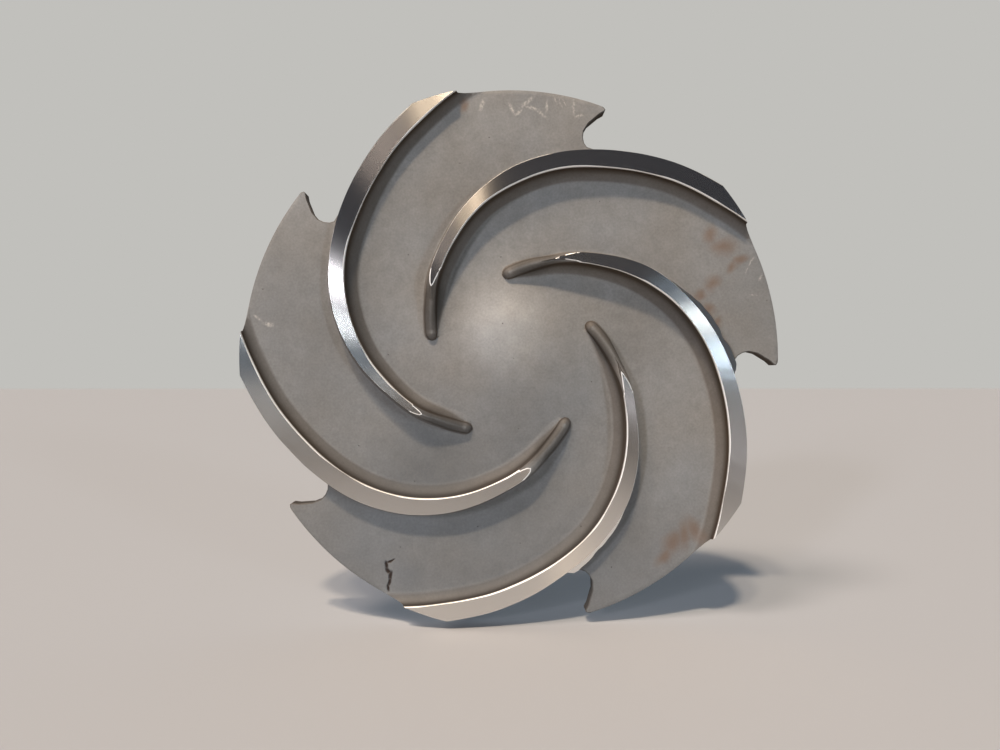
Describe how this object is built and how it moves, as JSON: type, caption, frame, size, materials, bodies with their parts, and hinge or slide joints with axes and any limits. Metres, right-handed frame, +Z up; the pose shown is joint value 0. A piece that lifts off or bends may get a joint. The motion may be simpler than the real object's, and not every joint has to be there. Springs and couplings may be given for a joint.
{
  "type": "pump impeller",
  "caption": "Semi-open centrifugal pump impeller, one stainless casting with backward-swept vanes, scalloped back shroud, closed domed hub and blind shaft bore.",
  "frame": {"origin": "centre of the hub's back face, on the shaft axis", "axes": "+Y along the shaft axis out of the hub's back, -Y out of the vanes, +Z up, +X to the right seen from the vane side"},
  "size_m": [0.2032, 0.0375, 0.2007],
  "materials": {
    "cast_stainless": "blasted casting, vane tops and hub face turned bright"
  },
  "bodies": {
    "root": {"impeller_casting": "cast_stainless"}
  },
  "joints": []
}
